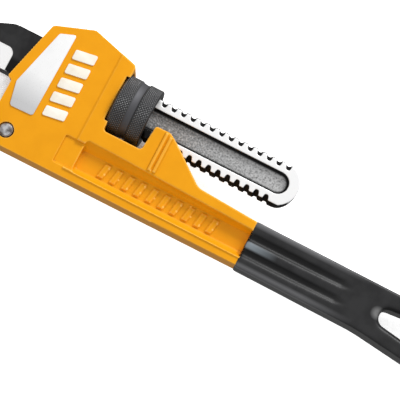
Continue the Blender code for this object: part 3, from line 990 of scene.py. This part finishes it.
@dataclass
class HookJaw:
    """Forged hook and neck with the flat shank, whose narrow edges carry the thread.

    The thread's root is crowned: it rises by the crown from the flat faces to the middle of each edge.
    """

    pitch: float = 6.0
    crest: float = 13.0
    root: float = 10.6
    crown: float = 1.4
    crown_reach: float = 30.0
    mouth_width: float = 3.9
    floor_width: float = 1.8
    first_groove: float = 102.3
    grooves: int = 19
    shank_half: float = 6.0
    tip: Flat = (101.2, 12.4)
    recess: tuple[float, float] = (6.2, 3.2)
    neck: Triple = (-13.6, 13.0, 7.5)
    face: float = -88.0
    tooth: Flat = (4.0, 1.7)

    def outline(self) -> list[Flat]:
        """Side view of the hook and its neck."""
        low, high, _ = self.neck
        return rounded(
            [
                (-12.0, low, 0),
                (-12.0, high, 0),
                (-70.5, high, 12.0),
                (-97.0, 1.8, 24.0),
                (-108.0, -24.0, 40.0),
                (-104.0, -48.0, 10.0),
                (-93.0, -54.5, 4.0),
                (self.face, -53.0, 1.5),
                (self.face, low, 5.0),
            ],
            6.0,
        )

    def teeth(self) -> bpy.types.Object:
        """Cutter that leaves a row of raked teeth on the hook's face."""
        pitch, depth = self.tooth
        outline: list[Flat] = []
        for i in range(8):
            y = -52.0 + i * pitch
            outline += [(self.face - depth, y), (self.face, y + pitch * 0.75)]
        outline += [(self.face - depth, -20.0), (self.face + 3.0, -20.0), (self.face + 3.0, -52.0)]
        return plate("teeth", outline, -20, 20)

    def groove(self, middle: float, start: float, stop: float) -> bpy.types.Object:
        """A stretch of the thread's groove across one edge, as a cutter."""
        rings = []
        steps = 10
        for k in range(steps + 1):
            angle = math.radians(start + (stop - start) * k / steps)
            along = middle + self.pitch * angle / (2 * math.pi)
            lean = abs(start + (stop - start) * k / steps - (start + stop) / 2)
            root = self.root + self.crown * max(0.0, 1 - lean / self.crown_reach)
            ring = []
            for radius, offset in (
                (root, -self.floor_width / 2),
                (root, self.floor_width / 2),
                (self.crest + 0.7, self.mouth_width / 2),
                (self.crest + 0.7, -self.mouth_width / 2),
            ):
                ring.append((along + offset, radius * math.cos(angle), radius * math.sin(angle)))
            rings.append(ring)
        return swept("groove", rings)

    def shank(self) -> bpy.types.Object:
        """The flat shank with its threaded edges, round tip and long recess."""
        rings = []
        for x in (-13.5, self.tip[0] + self.crest + 1):
            rings.append([(x, a, b) for a, b in arc((0, 0), self.crest, 0, 355, 71)])
        blank = swept("shank", rings)
        wide = self.crest + 0.05
        plan = [(-14.0, wide), (-14.0, -wide)]
        plan += [(self.tip[0] + self.tip[1] * x, wide * y) for x, y in arc((0, 0), 1, -90, 90, 30)]
        combine(blank, "INTERSECT", plate("plan", plan, -self.shank_half, self.shank_half))
        upper = self.groove(self.first_groove, -42, 42)
        lower = self.groove(self.first_groove - self.pitch, 138, 222)
        cuts = [upper, lower]
        for k in range(1, self.grooves):
            cuts += [shifted(first, -self.pitch * k, 0, 0) for first in (upper, lower)]
        combine(blank, "DIFFERENCE", joined("grooves", cuts))
        half, depth = self.recess
        web = [(-11.0, -half), *arc((self.tip[0], 0), half, -90, 90, 24), (-11.0, half)]
        combine(blank, "DIFFERENCE", both_sides("web", web, self.shank_half - depth, self.shank_half + 3))
        return blank

    def build(self, finishes: Finishes) -> None:
        """Model and dress the hook jaw."""
        half = self.neck[2]
        jaw = plate("jaw", self.outline(), -half, half)
        milled = rounded([(-63.7, -60.0, 0), (-63.7, -0.1, 4.5), (-120.0, -0.1, 0), (-120.0, -60.0, 0)])
        combine(jaw, "DIFFERENCE", both_sides("milled", milled, half - 0.5, half + 3), self.teeth())
        combine(jaw, "UNION", self.shank())
        weathered(jaw, 0.36, 3, 190_000)
        hand_over(jaw, "forged_hook_jaw", finishes.forging, Body.HOOK, ["hook_jaw"])


@dataclass
class AdjustingNut:
    """Nut with two diamond-knurled bands, and a smooth waist between them."""

    length: float = 21.4
    radius: float = 17.7
    waist: float = 16.8
    bands: tuple[Flat, Flat] = ((0.8, 8.2), (13.2, 20.6))
    bore: float = 13.35
    front: float = -0.2
    diamonds: int = 64
    around: int = 512
    depth: float = 0.45

    def profile(self) -> list[Flat]:
        """Closed profile of (x, radius), with close steps along the knurled bands."""
        loop: list[Flat] = [(self.front, self.bore + 0.7), (self.front, 16.4), (0.1, 17.1)]
        for (start, stop), after in zip(self.bands, (True, False)):
            steps = round((stop - start) / 0.22)
            loop += [(start + (stop - start) * i / steps, self.radius) for i in range(steps + 1)]
            if after:
                loop += [(8.5, 17.4), (8.8, 17.15), (9.6, 17.0), (10.8, self.waist), (12.0, self.waist)]
                loop += [(12.6, 16.9), (12.95, 17.3)]
        loop += [(21.0, 17.45), (self.length, 16.9), (self.length, self.bore + 0.8)]
        loop += [(self.length - 0.8, self.bore), (self.front + 0.7, self.bore)]
        return loop

    def knurl(self, nut: bpy.types.Object) -> None:
        """Press the diamonds into both bands."""
        turn = self.diamonds / (2 * math.pi)
        for vertex in nut.data.vertices:
            place = (vertex.co - ORIGIN) / MM
            reach = math.hypot(place.y, place.z)
            band = next((b for b in self.bands if b[0] + 0.05 < place.x < b[1] - 0.05), None)
            if band is None or reach < self.radius - 0.01:
                continue
            around = math.atan2(place.z, place.y) * turn
            along = place.x * turn / self.radius
            cut = 0.0
            for value in (around + along, around - along):
                cut = max(cut, 1 - 2.4 * abs(value - round(value)))
            scale = 1 - self.depth * cut / reach
            vertex.co = ORIGIN + Vector((place.x, place.y * scale, place.z * scale)) * MM

    def build(self, finishes: Finishes) -> None:
        """Model and dress the nut."""
        nut = turned("nut", self.profile(), self.around)
        self.knurl(nut)
        hand_over(nut, "knurled_nut", finishes.oxide, Body.NUT, ["adjusting_nut"], 50.0)


@dataclass
class SmallParts:
    """The heel jaw, its pin, the rivet and the two springs, which keep their CAD shapes."""

    steel_nodes: tuple[str, ...] = ("heel_jaw",)
    pin_nodes: tuple[str, ...] = ("heel_jaw_pin",)
    spring_nodes: tuple[str, ...] = ("spring_rivet", "flat_spring", "coil_spring")

    def build(self, finishes: Finishes) -> None:
        """Dress the small parts."""
        for names, material in (
            (self.steel_nodes, finishes.steel),
            (self.pin_nodes, finishes.pin),
            (self.spring_nodes, finishes.spring),
        ):
            for name in names:
                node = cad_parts[name]
                node.data.materials.clear()
                node.data.materials.append(material)
                LOG.info("%s: CAD shape, new finish", name)


# ---------------------------------------------------------------- studio


@dataclass
class Studio:
    """Pale floor, soft light from the back of the hook jaw, and a long lens over the wrench."""

    aim: Triple = (66.7, -27.9, 0.0)
    tilt: Flat = (2.0, -8.0)
    roll: float = 27.0
    lens: float = 135.0
    distance: float = 0.8415
    floor_size: float = 6.0
    floor_glow: float = 0.9
    gap_depth: float = 0.04
    gap_shade: Flat = (0.06, 0.12)
    world: float = 0.72
    bright_way: Triple = (0.0, 0.5, 0.87)

    def camera(self) -> None:
        """A camera straight above, leaning a little, with the wrench turned on the picture."""
        lean_x, lean_y = (math.tan(math.radians(angle)) for angle in self.tilt)
        back = Vector((lean_x, lean_y, 1)).normalized()
        roll = math.radians(self.roll)
        up = Vector((-math.sin(roll), math.cos(roll), 0))
        up = (up - back * up.dot(back)).normalized()
        right = up.cross(back).normalized()
        lens = bpy.data.cameras.new("long_lens")
        lens.lens = self.lens
        lens.sensor_width = 36.0
        lens.dof.use_dof = False
        camera = bpy.data.objects.new("long_lens", lens)
        bpy.context.scene.collection.objects.link(camera)
        turn = [[right[i], up[i], back[i]] for i in range(3)]
        place = DRAWING.point(*self.aim) + back * self.distance
        camera.matrix_world = Matrix([[*turn[i], place[i]] for i in range(3)] + [[0, 0, 0, 1]])
        bpy.context.scene.camera = camera

    def lamp(self, name: str, place: Sequence[float], size: float, power: float) -> None:
        """A large soft lamp that points at the wrench."""
        light = bpy.data.lights.new(name, "AREA")
        light.size = size
        light.energy = power
        lamp = bpy.data.objects.new(name, light)
        bpy.context.scene.collection.objects.link(lamp)
        lamp.location = place
        towards = DRAWING.point(*self.aim) - Vector(place)
        lamp.rotation_euler = towards.to_track_quat("-Z", "Y").to_euler()

    def floor(self) -> None:
        """A wide white floor that the wrench lies on, which glows except for painted shade at the bottom of
        deep gaps.
        """
        deselect()
        bpy.ops.mesh.primitive_plane_add(size=self.floor_size, location=(0, 0, 0))
        floor = bpy.context.object
        floor.name = "studio_floor"
        white = Finish("matt_white_paper", "#FAFAFA", "#F8F8F8", 0.9, grain=2.0, relief=0.0, mottle=60.0)
        paper = white.build()
        tree = paper.node_tree
        # Painted shade: the floor's glow is cut where ambient occlusion finds the wrench close above it.
        shade = add(tree, "ShaderNodeAmbientOcclusion", {"Distance": self.gap_depth}, samples=16)
        low, high = self.gap_shade
        reach = add(
            tree,
            "ShaderNodeMapRange",
            {"From Min": low, "From Max": high, "To Max": self.floor_glow},
            {"Value": shade.outputs["AO"]},
        )
        tree.links.new(reach.outputs[0], tree.nodes["Principled BSDF"].inputs["Emission Strength"])
        floor.data.materials.append(paper)
        floor.visible_diffuse = False
        floor.visible_glossy = False

    def surroundings(self) -> None:
        """White surroundings that are brighter on the hook jaw's back side."""
        world = bpy.data.worlds.new("studio")
        bpy.context.scene.world = world
        world.use_nodes = True
        tree = world.node_tree
        where = add(tree, "ShaderNodeTexCoord").outputs["Generated"]
        lean = add(tree, "ShaderNodeVectorMath", {1: self.bright_way}, {0: where}, operation="DOT_PRODUCT")
        factor = ease(tree, lean.outputs["Value"], -0.2, 0.8)
        stops = ((0.0, "#A8A8A8"), (1.0, "#FFFFFF"))
        colour = add(tree, "ShaderNodeValToRGB", links={0: factor}, stops=stops)
        tree.links.new(colour.outputs[0], tree.nodes["Background"].inputs["Color"])
        tree.nodes["Background"].inputs["Strength"].default_value = self.world

    def build(self) -> None:
        """Set up the camera, the floor and the light."""
        bpy.context.scene.view_settings.view_transform = "Standard"
        self.camera()
        self.floor()
        self.surroundings()
        self.lamp("key_lamp", (0.3, 1.1, 0.7), 0.4, 14.0)
        self.lamp("fill_lamp", (-0.5, -0.9, 0.7), 0.8, 2.4)


def main() -> None:
    """Build every sub-assembly in order, then the studio."""
    logging.basicConfig(level=logging.INFO, format="%(message)s")
    finishes = Finishes.make()
    for part in (Housing(), Grip(), HookJaw(), AdjustingNut(), SmallParts()):
        part.build(finishes)
    Studio().build()


if __name__ == "__main__":
    main()
